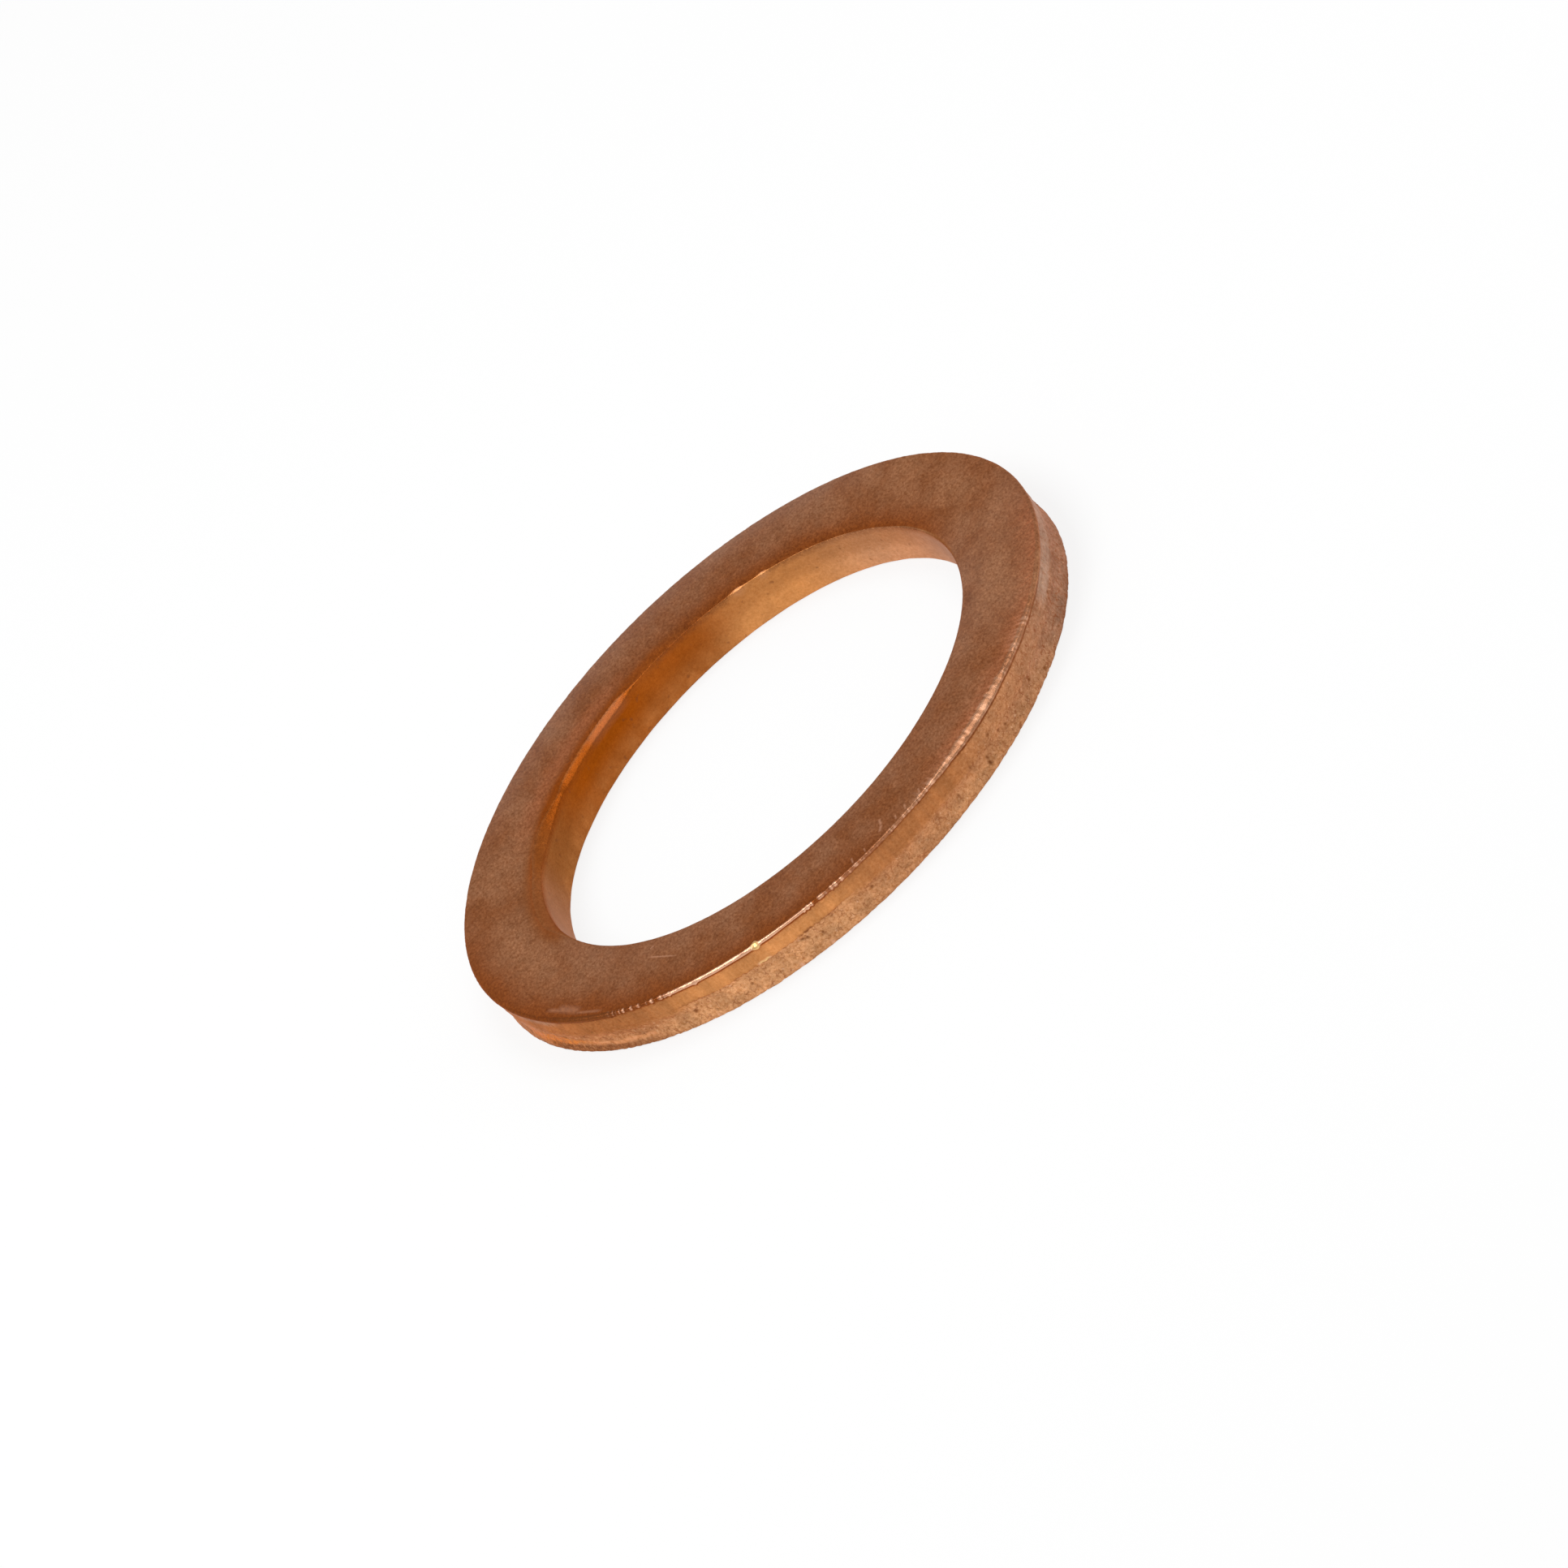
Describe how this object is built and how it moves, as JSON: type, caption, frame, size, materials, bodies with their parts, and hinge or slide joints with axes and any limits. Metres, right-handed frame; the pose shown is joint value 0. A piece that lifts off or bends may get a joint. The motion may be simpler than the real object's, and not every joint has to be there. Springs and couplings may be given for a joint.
{
  "type": "sealing washer",
  "caption": "Flat copper sealing washer: a plain ring with a clear bore, flat sealing faces and a punched outer edge with a peened rim.",
  "frame": {"origin": "centre of the bore on the washer's lower face", "axes": "+Z along the bore axis, from the lower face to the upper face with the peened rim; +X and +Y lie in the lower face"},
  "size_m": [0.0138, 0.0138, 0.001],
  "materials": {
    "copper": "tumbled soft copper, dull brown faces and a brighter sheared edge"
  },
  "bodies": {
    "root": {"sealing_washer": "copper"}
  },
  "joints": []
}
